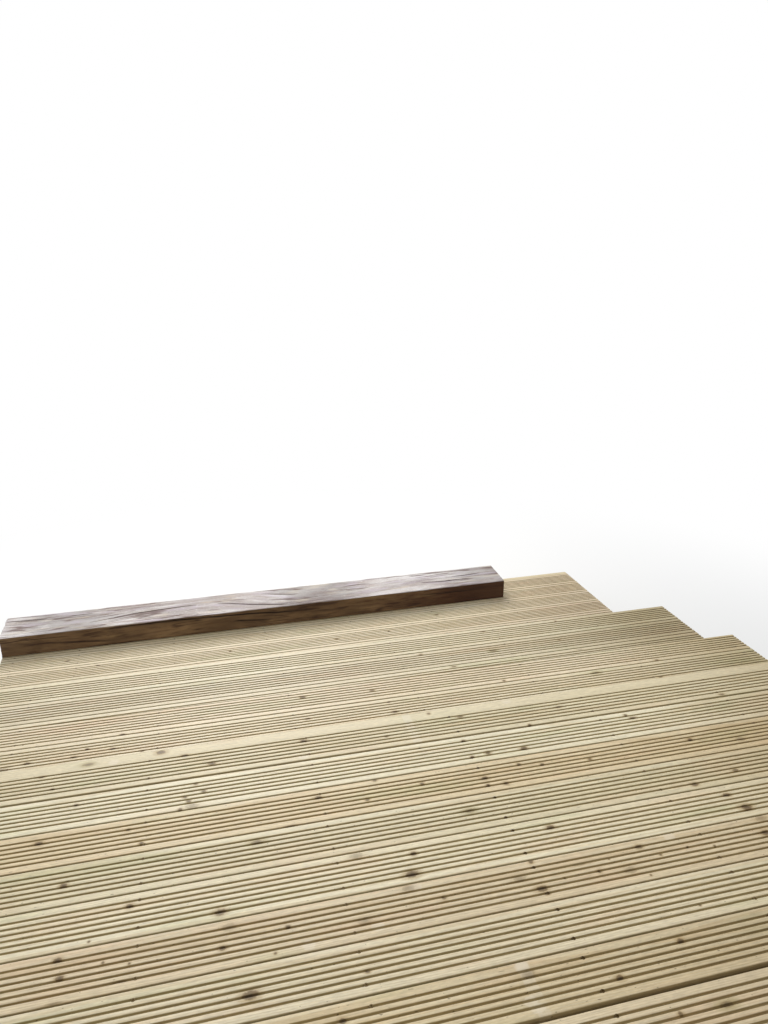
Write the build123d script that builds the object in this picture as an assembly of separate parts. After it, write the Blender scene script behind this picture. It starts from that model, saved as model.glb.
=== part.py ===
# Stepped garden deck: three levels of grooved softwood boards with a heavy
# timber beam lying as a kerb along the lowest level.
# All sizes are in millimetres. X runs along the boards, Y down the steps, Z up.

import math
import os

from build123d import *

# Deck board and its grooved face
board_width = 121.0
board_thickness = 28.0
board_gap = 4.0
groove_count = 6
groove_pitch = 15.6
groove_width = 5.6
groove_floor = 3.4
groove_depth = 4.0
board_corner = 2.0

# Levels, measured to the top of the boards
lower_top = 170.0
lower_rise = 350.0
upper_rise = 150.0

# Upper level
upper_length = 3110.0
upper_board_count = 13
upper_wide_gaps = {1: 7.0, 8: 10.0}
upper_nosing_plain = 26.0
riser_clearance = 4.0

# Middle level: straight boards at the back, skewed boards at the nosing
middle_straight_count = 4
middle_first_distance = 74.8
middle_front_rip = 8.0
nosing_distance = 725.5
nosing_skew = 0.65
nosing_board_shortening = 134.0
riser_board_count = 3

# Lower level with the beam lying on it
lower_length = 3105.0
lower_left_inset = 25.0
lower_board_count = 9
lower_distance = 731.0
lower_skew = 1.05
lower_fascia_foot = 25.0
lower_fascia_thickness = 28.0
beam_length = 2600.0
beam_width = 225.0
beam_height = 105.0
beam_setback = 912.0
beam_edge = 6.0
beam_end_skew = 2.5

# Both nosings stand this far proud of the risers
nosing_overhang = 15.0

# Skewed levels turn about this distance from the left end of the boards
skew_pivot = 1350.0

# Timber frames under the boards
joist_thickness = 47.0
joist_spacing = 450.0
joist_first = 350.0
frame_inset = 30.0
upper_joist_depth = 120.0
lower_joist_depth = 95.0
post_side = 95.0
post_rows = 4
bearer_width = 95.0

# Derived heights
middle_top = lower_top + lower_rise
upper_top = middle_top + upper_rise
bearer_height = lower_top - board_thickness - lower_joist_depth

# The rear middle board is ripped to stop just short of the upper posts
middle_frame_rear = -nosing_overhang - board_thickness
middle_rear_rip = board_width + 2 * board_gap - middle_first_distance + middle_frame_rear


def box_between(x0, x1, y0, y1, z0, z1):
    """A plain timber given by its two opposite corners."""
    block = Box(x1 - x0, y1 - y0, z1 - z0)
    return Pos((x0 + x1) / 2, (y0 + y1) / 2, (z0 + z1) / 2) * block


def prism(points, z0, z1):
    """An upright solid over a plan outline."""
    outline = make_face(Polyline(*[(x, y, z0) for x, y in points], close=True))
    return extrude(outline, amount=z1 - z0, dir=(0, 0, 1))


def board_outline(plain=0.0):
    """Section of a board as points across its width, grooves first.

    A nosing board has a plain strip of this extra width beyond its last groove.
    """
    half = board_width / 2
    points = [(-half, -board_corner), (-half + board_corner, 0.0)]
    first = -(groove_count - 1) * groove_pitch / 2
    for number in range(groove_count):
        middle = first + number * groove_pitch
        points.append((middle - groove_width / 2, 0.0))
        points.append((middle - groove_floor / 2, -groove_depth))
        points.append((middle + groove_floor / 2, -groove_depth))
        points.append((middle + groove_width / 2, 0.0))
    front = half + plain
    points.append((front - board_corner, 0.0))
    points.append((front, -board_corner))
    points.append((front, -board_thickness))
    points.append((-half, -board_thickness))
    return points


def deck_board(x0, x1, y0, top, plain=0.0):
    """A grooved board from x0 to x1 whose rear edge lies at y0."""
    half = board_width / 2
    corners = [(x0, y0 + half + y, top + z) for y, z in board_outline(plain)]
    outline = make_face(Polyline(*corners, close=True))
    return extrude(outline, amount=x1 - x0, dir=(1, 0, 0))


def joist_places(length):
    """Centres of the joists along a level of the given length."""
    first = frame_inset + joist_thickness / 2
    last = length - frame_inset - joist_thickness / 2
    places = [first]
    place = joist_first
    while place < last - 2 * joist_thickness:
        places.append(place)
        place = place + joist_spacing
    places.append(last)
    return places


def post_places(length):
    """Left sides of the posts under one rim, evenly shared along it."""
    run = length - 2 * frame_inset - post_side
    return [frame_inset + run * row / (post_rows - 1) for row in range(post_rows)]


def skewed(distance, angle):
    """Place of a skewed level: its own origin is on the pivot line."""
    return Pos(skew_pivot, distance, 0) * Rot(0, 0, angle)


def upper_level(nodes):
    """Boards, riser and frame of the highest level. Its nosing ends at Y = 0."""
    rear = 0.0
    for number in range(1, upper_board_count + 1):
        plain = upper_nosing_plain if number == 1 else 0.0
        rear = rear - board_width - plain
        board = deck_board(0, upper_length, rear, upper_top, plain)
        nodes[f"upper_board_{number:02d}"] = [board]
        if number < upper_board_count:
            rear = rear - upper_wide_gaps.get(number, board_gap)
    top = upper_top - board_thickness
    riser_foot = middle_top + riser_clearance
    riser = riser_board(0, upper_length, top) - rip(-upper_top, upper_top, 0, riser_foot)
    nodes["upper_riser_board"] = [Pos(0, -nosing_overhang, 0) * riser]
    front = -nosing_overhang - board_thickness
    base = top - upper_joist_depth
    x0 = frame_inset
    x1 = upper_length - frame_inset
    nodes["upper_rims"] = [
        box_between(x0, x1, front - joist_thickness, front, base, top),
        box_between(x0, x1, rear, rear + joist_thickness, base, top),
    ]
    half = joist_thickness / 2
    nodes["upper_joists"] = [
        box_between(x - half, x + half, rear + joist_thickness, front - joist_thickness, base, top)
        for x in joist_places(upper_length)
    ]
    nodes["upper_posts"] = [
        box_between(x, x + post_side, y, y + post_side, 0, base)
        for x in post_places(upper_length)
        for y in (rear, front - post_side)
    ]


def middle_boards(nodes):
    """Straight boards, the tapered infill board and the two skewed nosing boards."""
    pitch = board_width + board_gap
    last_near = middle_first_distance + (middle_straight_count - 2) * pitch
    for number in range(middle_straight_count):
        rear = middle_first_distance + (number - 1) * pitch
        board = deck_board(0, upper_length, rear, middle_top)
        if number == 0:
            board = board - rip(rear - 1, rear + middle_rear_rip)
        if number == middle_straight_count - 1:
            board = board - rip(rear + board_width - middle_front_rip, rear + board_width + 1)
        nodes[f"middle_board_{number + 1}"] = [board]
    infill_near = last_near + board_width - middle_front_rip + board_gap

    x0 = -skew_pivot
    x1 = upper_length - nosing_board_shortening - skew_pivot
    place = skewed(nosing_distance, nosing_skew)
    nosing_rear = -board_width
    second_rear = nosing_rear - pitch
    infill_rear = second_rear - pitch
    nodes["middle_nosing_board"] = [place * deck_board(x0, x1, nosing_rear, middle_top)]
    nodes["middle_second_board"] = [place * deck_board(x0, x1, second_rear, middle_top)]
    infill = place * deck_board(x0, x1, infill_rear, middle_top)
    nodes["tapered_infill_board"] = [infill - rip(infill_near - 2 * board_width, infill_near)]


def rip(y0, y1, z0=0.0, z1=upper_top):
    """A long block that rips a board lengthwise."""
    spare = board_width
    return box_between(-spare, upper_length + spare, y0, y1, z0, z1)


def middle_frame(nodes):
    """Rims, joists, posts and the riser boards under the nosing."""
    top = middle_top - board_thickness
    base = top - upper_joist_depth
    rear = middle_frame_rear
    face = nosing_distance - nosing_overhang
    place = skewed(face, nosing_skew)
    x0 = frame_inset
    x1 = upper_length - frame_inset
    skew_x0 = frame_inset - skew_pivot
    skew_x1 = upper_length - nosing_board_shortening - frame_inset - skew_pivot
    rim_front = -board_thickness
    rim_rear = rim_front - joist_thickness

    for number in range(riser_board_count):
        riser_top = top - number * (board_width + board_gap)
        riser = riser_board(skew_x0 - frame_inset, skew_x1 + frame_inset, riser_top)
        nodes[f"middle_riser_board_{number + 1}"] = [place * riser]
    nodes["middle_rims"] = [
        box_between(x0, x1, rear, rear + joist_thickness, base, top),
        place * box_between(skew_x0, skew_x1, rim_rear, rim_front, base, top),
    ]

    slope = math.tan(math.radians(nosing_skew))
    rim_line = face + rim_rear / math.cos(math.radians(nosing_skew))
    half = joist_thickness / 2
    joists = []
    for x in joist_places(upper_length - nosing_board_shortening):
        left = rim_line + (x - half - skew_pivot) * slope
        right = rim_line + (x + half - skew_pivot) * slope
        start = rear + joist_thickness
        plan = [(x - half, start), (x + half, start), (x + half, right), (x - half, left)]
        joists.append(prism(plan, base, top))
    # A short joist carries the ends of the straight boards past the nosing boards
    end_left = x1 - joist_thickness
    end_front = middle_frame_rear + straight_depth() - nosing_overhang
    joists.append(box_between(end_left, x1, rear + joist_thickness, end_front, base, top))
    nodes["middle_joists"] = joists

    posts = [
        box_between(x, x + post_side, rear, rear + post_side, 0, base)
        for x in post_places(upper_length)
    ]
    for x in post_places(upper_length - nosing_board_shortening):
        left = x - skew_pivot
        post = box_between(left, left + post_side, rim_front - post_side, rim_front, 0, base)
        posts.append(place * post)
    posts.append(box_between(x1 - post_side, x1, end_front - post_side, end_front, 0, base))
    nodes["middle_posts"] = posts


def straight_depth():
    """Depth of the straight middle boards from the ripped rear one to the ripped front one."""
    full = middle_straight_count * (board_width + board_gap) - board_gap
    return full - middle_rear_rip - middle_front_rip


def riser_board(x0, x1, top):
    """A deck board on edge with its grooved face looking down the steps."""
    half = board_width / 2
    corners = [(x0, depth, top - half + across) for across, depth in board_outline()]
    outline = make_face(Polyline(*corners, close=True))
    return extrude(outline, amount=x1 - x0, dir=(1, 0, 0))


def lower_level(nodes):
    """Boards, fascia, joists, ground bearers and the beam of the lowest level."""
    place = skewed(lower_distance, lower_skew)
    pitch = board_width + board_gap
    x0 = lower_left_inset - skew_pivot
    x1 = x0 + lower_length
    front = lower_board_count * pitch - board_gap
    for number in range(lower_board_count):
        board = deck_board(x0, x1, number * pitch, lower_top)
        nodes[f"lower_board_{number + 1}"] = [place * board]
    face = front + lower_fascia_thickness
    fascia = box_between(x0, x1, front, face, lower_fascia_foot, lower_top)
    nodes["lower_fascia_board"] = [place * fascia]

    top = lower_top - board_thickness
    base = top - lower_joist_depth
    rim_x0 = x0 + frame_inset
    rim_x1 = x1 - frame_inset
    # The rear rim is fastened flat against the risers, so it follows their skew
    riser_place = skewed(nosing_distance - nosing_overhang, nosing_skew)
    rear_rim = box_between(rim_x0, rim_x1, 0, joist_thickness, base, top)
    front_rim = box_between(rim_x0, rim_x1, front - joist_thickness, front, base, top)
    nodes["lower_rims"] = [riser_place * rear_rim, place * front_rim]
    half = joist_thickness / 2
    joists = []
    for centre in joist_places(lower_length):
        left = x0 + centre - half
        right = x0 + centre + half
        end = front - joist_thickness
        plan = [(left, rear_rim_line(left)), (right, rear_rim_line(right)), (right, end), (left, end)]
        joists.append(place * prism(plan, base, top))
    nodes["lower_joists"] = joists
    nodes["lower_ground_bearers"] = [
        riser_place * box_between(rim_x0, rim_x1, 0, bearer_width, 0, bearer_height),
        place * box_between(rim_x0, rim_x1, front - bearer_width, front, 0, bearer_height),
    ]
    nodes["kerb_beam"] = [place * kerb_beam(x0)]


def rear_rim_line(x):
    """Front face of the rear rim, seen in the skewed frame of the lower boards."""
    turn = math.radians(lower_skew)
    relative = math.radians(lower_skew - nosing_skew)
    depth = joist_thickness / math.cos(math.radians(nosing_skew))
    offset = nosing_distance - nosing_overhang + depth - lower_distance
    return offset * math.cos(turn) - (x - offset * math.sin(turn)) * math.tan(relative)


def kerb_beam(x0):
    """The heavy beam with eased long edges and its right end sawn off square line."""
    slant = beam_width * math.tan(math.radians(beam_end_skew))
    x1 = x0 + beam_length
    y0 = beam_setback
    y1 = beam_setback + beam_width
    plan = [(x0, y0), (x1, y0), (x1 + slant, y1), (x0, y1)]
    beam = prism(plan, lower_top, lower_top + beam_height)
    long_edges = beam.edges().filter_by(Axis.X).group_by(Axis.Z)[-1]
    return chamfer(long_edges, beam_edge)


def build_nodes():
    """Every named piece of the deck, centred over its own footprint."""
    nodes = {}
    upper_level(nodes)
    middle_boards(nodes)
    middle_frame(nodes)
    lower_level(nodes)
    whole = Compound(children=[solid for solids in nodes.values() for solid in solids])
    box = whole.bounding_box()
    shift = Pos(-(box.min.X + box.max.X) / 2, -(box.min.Y + box.max.Y) / 2, -box.min.Z)
    return {name: [shift * solid for solid in solids] for name, solids in nodes.items()}


def write_nodes(nodes):
    """One file per named piece."""
    os.makedirs("parts", exist_ok=True)
    for name, solids in nodes.items():
        piece = Compound(children=[s for solid in solids for s in solid.solids()])
        piece.label = name
        export_step(piece, f"parts/{name}.step")


write_nodes(build_nodes())
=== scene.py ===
# Looks, light and camera of the stepped garden deck.
# Everything is in metres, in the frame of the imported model: X along the boards,
# Y down the steps, Z up.

import math
import random
from collections import namedtuple

import bmesh
import bpy
import numpy as np
from mathutils import Matrix, Vector, noise


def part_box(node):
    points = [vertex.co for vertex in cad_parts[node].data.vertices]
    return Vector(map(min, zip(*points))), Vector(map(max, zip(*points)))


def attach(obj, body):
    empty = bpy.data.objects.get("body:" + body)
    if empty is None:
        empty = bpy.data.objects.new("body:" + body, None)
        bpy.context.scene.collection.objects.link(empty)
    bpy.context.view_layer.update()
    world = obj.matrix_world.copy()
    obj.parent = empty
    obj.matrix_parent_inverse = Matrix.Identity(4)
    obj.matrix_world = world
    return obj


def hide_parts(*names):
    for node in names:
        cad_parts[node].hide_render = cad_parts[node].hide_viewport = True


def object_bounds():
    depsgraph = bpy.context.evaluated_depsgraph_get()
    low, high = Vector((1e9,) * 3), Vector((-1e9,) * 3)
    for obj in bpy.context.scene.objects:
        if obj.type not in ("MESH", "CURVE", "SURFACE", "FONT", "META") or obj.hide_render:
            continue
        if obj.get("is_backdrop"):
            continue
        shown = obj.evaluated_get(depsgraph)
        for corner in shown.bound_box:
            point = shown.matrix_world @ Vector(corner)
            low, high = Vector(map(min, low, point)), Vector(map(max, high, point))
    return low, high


# Section of a board, its ribs skimmed a little lower than in the solids
BOARD_WIDTH = 0.121
BOARD_THICKNESS = 0.028
BOARD_GAP = 0.004
GROOVE_COUNT = 6
GROOVE_PITCH = 0.0156
GROOVE_SPAN = (GROOVE_COUNT - 1) * GROOVE_PITCH
GROOVE_WIDTH = 0.0056
GROOVE_FLOOR = 0.0034
GROOVE_DEPTH = 0.004
NOSING_PLAIN = 0.026
RIB_SKIM = 0.0003

# Radii of the section's corners
BOARD_CORNER = 0.0022
NOSE_CORNER = 0.005
RIB_CORNER = 0.0015
FLOOR_CORNER = 0.0008
UNDER_CORNER = 0.001

# Ends of a board: how far short they fall and their eased edges. Its bow, and its rings of points
END_SHORT = (-0.0015, 0.0025)
END_EASE = 0.0006
BOW = 0.0006
RING_MARGIN = 0.12
RING_COUNT = 22

# Kinds of boards, those with a free rear or front edge, and the last of each level
FLAT_BOARDS = ("upper_board", "middle_board", "middle_second", "middle_nosing", "lower_board")
RISERS = ("upper_riser_board", "middle_riser_board_1", "middle_riser_board_2", "middle_riser_board_3")
REAR_EDGES = ("upper_board_13", "lower_board_1")
FRONT_EDGES = ("upper_board_01", "middle_nosing_board")
LEVEL_ENDS = ("upper_board_01", "middle_nosing_board", "lower_board_9")

# Skewed boards, and boards ripped narrower: by how much, at the front (1) or the rear (-1)
NOSING_SKEW = math.radians(0.65)
LOWER_SKEW = math.radians(1.05)
RIPPED = {
    "middle_board_1": (0.0112, -1),
    "middle_board_4": (0.008, 1),
    "upper_riser_board": (0.003, 1),
}

# Kerb beam: its size, the slant of its right end, and the points of its skin
BEAM_LENGTH = 2.6
BEAM_WIDTH = 0.225
BEAM_HEIGHT = 0.105
BEAM_END_SKEW = math.radians(2.5)
BEAM_SKEW_REACH = 0.3
BEAM_STATIONS = 420
BEAM_ROW = 0.0062
BEAM_EDGE_ROWS = (0.0, 0.0015, 0.0035, 0.006)

# Least and most radius of the beam's long edges, from the front bottom one over the top. The
# second is chipped from here to there and so much rounder, with painted shadow on the front face
# below it: how far below the top that starts, over how far it grows and how dark it is
BEAM_EDGES = ((0.004, 0.006), (0.004, 0.010), (0.005, 0.012), (0.004, 0.006))
BEAM_CHIP = (0.48, 1.46)
CHIP_ROUNDING = 0.002
CHIP_SHADE = (0.022, 0.012, 0.3)

# Mean, broad and fine wear of the beam's skin. Coarse and fine roughness of its left end
BEAM_WEAR = (0.0013, 0.0010, 0.0007)
BEAM_RAGGED = (0.010, 0.005)
RAGGED_REACH = 0.05

# Splits: how much they waver, half their width where closed, the depth at which their painted shade is
# full, and the stations over which their paths are smoothed
SPLIT_WAVER = 0.0016
SPLIT_CLOSED = 0.0004
SPLIT_DARK = 0.006
SPLIT_SMOOTHING = 13

# Each split is a path along and across its face, and its openings: from, to, width and depth
FRONT_SPLITS = ((
    ((0.0, 0.057), (0.19, 0.053), (0.53, 0.022), (0.95, 0.047), (1.15, 0.052), (1.25, 0.038), (2.6, 0.04)),
    ((0.2, 0.5, 0.0010, 0.004), (1.1, 1.3, 0.0022, 0.008)),
), (
    ((0.0, 0.084), (0.2, 0.079), (0.35, 0.076), (0.5, 0.092), (0.7, 0.094), (0.9, 0.093), (1.1, 0.087),
     (1.2, 0.083), (1.3, 0.074), (1.4, 0.069), (1.6, 0.064), (2.12, 0.073), (2.6, 0.068)),
    ((0.05, 0.33, 0.0011, 0.004), (0.45, 1.52, 0.0042, 0.014), (2.1, 2.44, 0.0014, 0.006)),
))
TOP_SPLITS = ((
    ((0.0, 0.05), (0.43, 0.072), (0.63, 0.118), (0.92, 0.135), (1.06, 0.117), (1.22, 0.058), (1.37, 0.02),
     (1.7, 0.03), (2.16, 0.098), (2.25, 0.082), (2.41, 0.087), (2.6, 0.08)),
    ((0.4, 0.6, 0.0011, 0.004), (0.58, 0.93, 0.0034, 0.012), (1.03, 1.39, 0.0040, 0.014),
     (2.14, 2.43, 0.0030, 0.010)),
), (
    ((0.0, 0.178), (0.19, 0.166), (0.43, 0.17), (0.92, 0.183), (1.2, 0.203), (1.43, 0.13), (1.8, 0.12),
     (2.1, 0.14), (2.38, 0.127), (2.6, 0.137)),
    ((0.0, 0.2, 0.0032, 0.012), (0.3, 0.42, 0.0010, 0.004), (1.27, 1.46, 0.0014, 0.005),
     (2.33, 2.5, 0.0024, 0.009)),
))
REAR_SPLITS = (
    (((0.0, 0.038), (0.9, 0.05), (2.6, 0.034)), ((0.2, 0.9, 0.0030, 0.010), (1.4, 2.3, 0.0024, 0.008))),
    (((0.0, 0.07), (1.2, 0.078), (2.6, 0.07)), ((0.7, 1.6, 0.0026, 0.009),)),
)
BEAM_FACES = (
    (BEAM_HEIGHT, FRONT_SPLITS),
    (BEAM_WIDTH, TOP_SPLITS),
    (BEAM_HEIGHT, REAR_SPLITS),
    (BEAM_WIDTH, ()),
)

# Stains across the beam, by middle and reach. Heart and rings of its tree
BEAM_STAINS = ((0.3, 0.16), (1.55, 0.2), (2.52, 0.2))
STAIN_EDGE = 0.08
BEAM_HEART = (0.13, 0.034)
BEAM_RING = 0.0055

# Growth rings of the boards and the frame, and the frame's eased edges
BOARD_RING = 0.0042
FRAME_RING = 0.005
TIMBER_EASE = 0.003
MERGE_REACH = 1e-5
FLAT_ANGLE = 0.001

# Degrees from which edges are drawn sharp, on boards and timbers and on the beam and screws
SHARP_WOOD = 35
SHARP_ROUND = 40

# Random places of a piece in its tree: along the grain, and from the heart
GRAIN_REACH = 90
HEART_ASIDE = (-0.14, 0.02)
HEART_HEIGHT = (0.05, 0.11)
TIMBER_HEART = 0.03

# Joists, and the screws over them
JOIST_THICKNESS = 0.047
JOIST_SPACING = 0.45
JOIST_FIRST = 0.35
JOIST_END = 0.0535
SCREW_OFFSET = 0.004
SCREW_STRAY = (0.002, 0.0006)
SCREW_SINK = 0.0003
DARK_SCREW_ROW = 1.7

# Screw head: radius and height of its rings of points, from under the rim into the drive recess,
# its lowest point, and the lobes of the recess
SCREW_SIDES = 18
SCREW_RINGS = ((0.0046, -0.0016), (0.0045, 0.0), (0.004, 0.00025), (0.002, 0.00025), (0.0017, -0.0013))
SCREW_BOTTOM = -0.0015
RECESS_RING = 3
RECESS_LOBES = 6
RECESS_WAVE = 0.16
# Colours of the screws' coats; those of the dark screws are partly painted shade of their countersunk
# holes
SCREW_COATS_AND_SHADE = {
    "dark_screws": ((56, 41, 14), (94, 73, 38)),
    "tan_screws": ((100, 82, 50), (122, 102, 66)),
}

# Camera, from the photograph's vanishing lines
CAMERA_FROM_LEFT = 1.0159
CAMERA_BACK = 1.9883
CAMERA_UP = 1.4036
CAMERA_PITCH = math.radians(19.509)
CAMERA_TURN = math.radians(13.833)
FOCAL_PIXELS = 770.0
PHOTO_SIZE = (768, 1024)
SENSOR = 36.0

# Studio. A lamp has its place, size, power and colour
FLOOR_REACH = 60.0
FLOOR_FADE = (2.0, 4.2)
WORLD_COLOUR = (0.93, 0.96, 1.0)
WORLD_STRENGTH = 0.56
LAMPS = {
    "key_light": ((-0.4, 4.9, 4.4), 3.4, 240.0, (1.0, 0.965, 0.92)),
    "fill_light": ((2.4, -4.2, 4.5), 4.0, 50.0, (0.94, 0.97, 1.0)),
}
LAMP_AIM = Vector((0, 0, 0.4))

# Tones of boards that stand out from the rest
BOARD_TINTS = {
    "upper_board_01": (0.975, 0.97, 0.92),
    "upper_board_02": (1.10, 1.13, 1.14),
    "upper_board_03": (0.975, 0.915, 0.82),
    "upper_board_04": (0.975, 0.99, 0.955),
    "upper_board_05": (1.08, 1.08, 1.05),
    "upper_board_06": (0.90, 0.86, 0.81),
    "upper_board_07": (0.97, 0.94, 0.88),
    "upper_board_08": (0.93, 0.875, 0.77),
    "upper_board_09": (0.97, 0.93, 0.87),
    "middle_board_4": (1.07, 1.05, 1.06),
    "middle_second_board": (0.90, 0.90, 0.90),
    "middle_nosing_board": (1.0, 1.02, 1.03),
    "lower_board_3": (0.95, 0.95, 0.96),
    "lower_board_4": (0.92, 0.93, 0.93),
    "lower_board_5": (0.97, 0.97, 0.99),
    "lower_board_6": (0.96, 0.97, 1.0),
    "lower_board_7": (1.04, 1.04, 1.06),
}

# Boards darken to the right with painted shade: where that starts, how far it runs and the last tint
RIGHT_END_SHADE = {
    ("upper_board_01",): (2.3, 0.7, (0.70, 0.66, 0.58)),
    ("upper_board_02",): (2.2, 0.6, (0.68, 0.60, 0.50)),
    ("upper_board_06", "upper_board_07"): (1.9, 0.7, (0.78, 0.75, 0.67)),
    ("upper_board_08", "upper_board_09", "upper_board_1"): (1.2, 1.0, (0.78, 0.76, 0.74)),
    ("upper_board",): (2.0, 0.8, (0.66, 0.60, 0.48)),
    ("middle_board",): (2.3, 0.7, (0.64, 0.61, 0.50)),
    ("middle_second", "middle_nosing", "tapered"): (2.1, 0.7, (0.58, 0.54, 0.44)),
    ("lower_board",): (2.2, 0.75, (0.78, 0.73, 0.69)),
}
RIGHT_SHADE_CURVE = 1.5

# A pale stripe rubbed across two boards, with its place from their left ends
STRIPE_PLACE = 1.573
STRIPE_WIDTH = 0.026
STRIPE_EDGE = 0.004
STRIPE_STRENGTH = 0.3
STRIPE_BOARDS = ("upper_board_01", "upper_board_08")

# Painted shade in the grooves and gaps: how far below the ribs a groove is fully dark, where that ends,
# and the shade of gaps
SHADE_DEPTH = 0.0007
SHADE_FLOOR = 1.1 * GROOVE_DEPTH
GAP_SHADE = 0.85

# Reach of a knot's halo and core along the board, in knot lengths, with a margin for points just
# there. Each layer holds knots that don't overlap
KNOT_REACH = 3.6
KNOT_CORE_REACH = 3.0
KNOT_MARGIN = 1.01
KNOT_FAR = 9.0
KNOT_LAYERS = ("knot_a", "knot_b", "knot_c", "knot_d")

# Parts of a knot: what gives their strength, and where they start and are full, in knot sizes.
# Growth rings bend around a knot in the same way
KNOT_PARTS = {
    "halo": ("knot", 2.3, 0.9),
    "core": ("knot", 1.2, 0.75),
    "heart": ("knot", 0.75, 0.2),
    "pale": ("mark", 1.4, 0.9),
    "green": ("stain", 2.9, 0.6),
}
KNOT_BEND = (3.0, 0.8)

# Knots placed at random: half length, half width against that, darkness, distance from the
# board's ends and edges, and number on each kind of board
KNOT_SIZES = (0.003, 0.011)
KNOT_SLIMNESS = 0.65
KNOT_DARKNESS = (0.5, 1)
KNOT_FROM_END = 0.04
KNOT_FROM_EDGE = 0.008
KNOTS_FLAT = (8, 14)
KNOTS_TAPERED = 12
KNOTS_RISER = 10
ON_BOARD = 0.02

# Knots and marks seen in the photograph, by its pixels. Each row is their half length and half
# width in metres, how dark they are (below zero is a pale mark) and, for stains, how green
KNOTS_SEEN = {
    (0.0161, 0.0098, 1.0): ((250, 995), (412, 874), (746.5, 807)),
    (0.0132, 0.0086, 0.95): ((220.4, 912), (542, 888.5), (160.9, 752.3), (766, 832.5)),
    (0.0103, 0.0067, 0.9): (
        (318.4, 797.6), (550.5, 827), (695, 784.2), (726.8, 794.8), (38.5, 843.5), (211.9, 763.3),
        (395, 711.8), (302.5, 697.2), (523.6, 748), (484.9, 778), (638.7, 846.6), (303.7, 740.7),
    ),
    (0.008, 0.0063, 0.95): (
        (57.6, 960), (59.5, 978), (129.8, 906), (222.9, 947.8), (506.5, 783.2), (680.4, 940.4),
        (619.9, 977.4), (413.4, 853.5), (690.1, 739.5), (488.1, 752.7), (342.9, 1021.2), (63.7, 885.3),
    ),
    (0.0098, 0.0046, 0.8): (
        (184.9, 755.2), (41.6, 777.2), (73.5, 757.2), (112.7, 748.6), (721.5, 694.2), (459.9, 716.7),
        (558.6, 706.9), (372.3, 690.3), (308.1, 718.7), (26.9, 763.3), (122.5, 734.4), (93.1, 676.3),
        (98, 665.3), (67.4, 660.9), (237.1, 657.5), (336.8, 638.9), (420.7, 654.3), (656.3, 659.9),
        (660.8, 676.8), (436.7, 614.4), (483.2, 631.5), (735.5, 769.9), (632.6, 717.5), (453.8, 666.5),
    ),
    (0.0057, 0.0046, 0.85): (
        (52.2, 789.3), (75.9, 805.2), (367.4, 799.6), (141.3, 843.2), (128.1, 829.7), (287.8, 926.5),
        (488.1, 784.9), (547.6, 893.4), (530.9, 862), (599.5, 871.1), (518.7, 764), (542, 764),
        (589.7, 758.9), (428.6, 713.6), (472.2, 756.7), (463.6, 740.7), (386.4, 736.3), (422, 783.4),
        (625.2, 715), (374.7, 780.4), (367.4, 971), (680.4, 1013.2), (444, 897.6), (504, 680.5),
        (529.7, 724.6), (388.9, 702), (230.2, 651.1), (555.4, 621.2), (559.1, 639.6), (388.9, 631),
        (142, 751), (87, 749), (195.9, 783.7), (184.9, 797.1), (188.6, 801), (203.8, 791), (180, 809.2),
    ),
    (0.0032, 0.0029, 0.8): (
        (88.7, 941.6), (102.9, 962.5), (129.3, 963.2), (275.5, 953.2), (651, 875), (608.8, 858.9),
        (687.7, 846.6), (660.8, 854.7), (714.6, 845.6), (565.2, 878), (420, 748), (700, 905),
    ),
    (0.0161, 0.0023, 0.5): (
        (221.6, 819.2), (53.9, 1003.4), (118.8, 981.3), (290.2, 825.3), (579.9, 864.5), (579.9, 649.4),
    ),
    (0.0161, 0.0098, 0.38): (
        (229, 927), (408.5, 887.8), (519.9, 878.7), (528.5, 974), (761, 818), (364.9, 920.8),
        (192, 806), (740.4, 738.8), (2, 770), (356.4, 855.9), (630, 870),
    ),
    (0.0149, 0.0069, 0.6, 0.8): (
        (257.2, 842), (469.7, 810.6), (726.9, 1004.1), (595.8, 672.7), (88.2, 764.5), (493, 650.6),
    ),
    (0.0126, 0.0103, -0.8): (
        (521.2, 967), (669.3, 836.8), (506.5, 701.6), (113.9, 762), (530.9, 1001.6), (303.7, 756.7),
        (416, 887), (309, 945), (378, 926), (538, 1008),
    ),
}

Knot = namedtuple("Knot", "x y half_length half_width dark green", defaults=(0.0,))
rng = random.Random(38)


def linear(red, green, blue):
    """A colour as it is read on a screen, 0 to 255, turned into linear light."""
    return tuple(((c / 255 + 0.055) / 1.055) ** 2.4 if c > 10 else c / 3295 for c in (red, green, blue))


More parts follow.
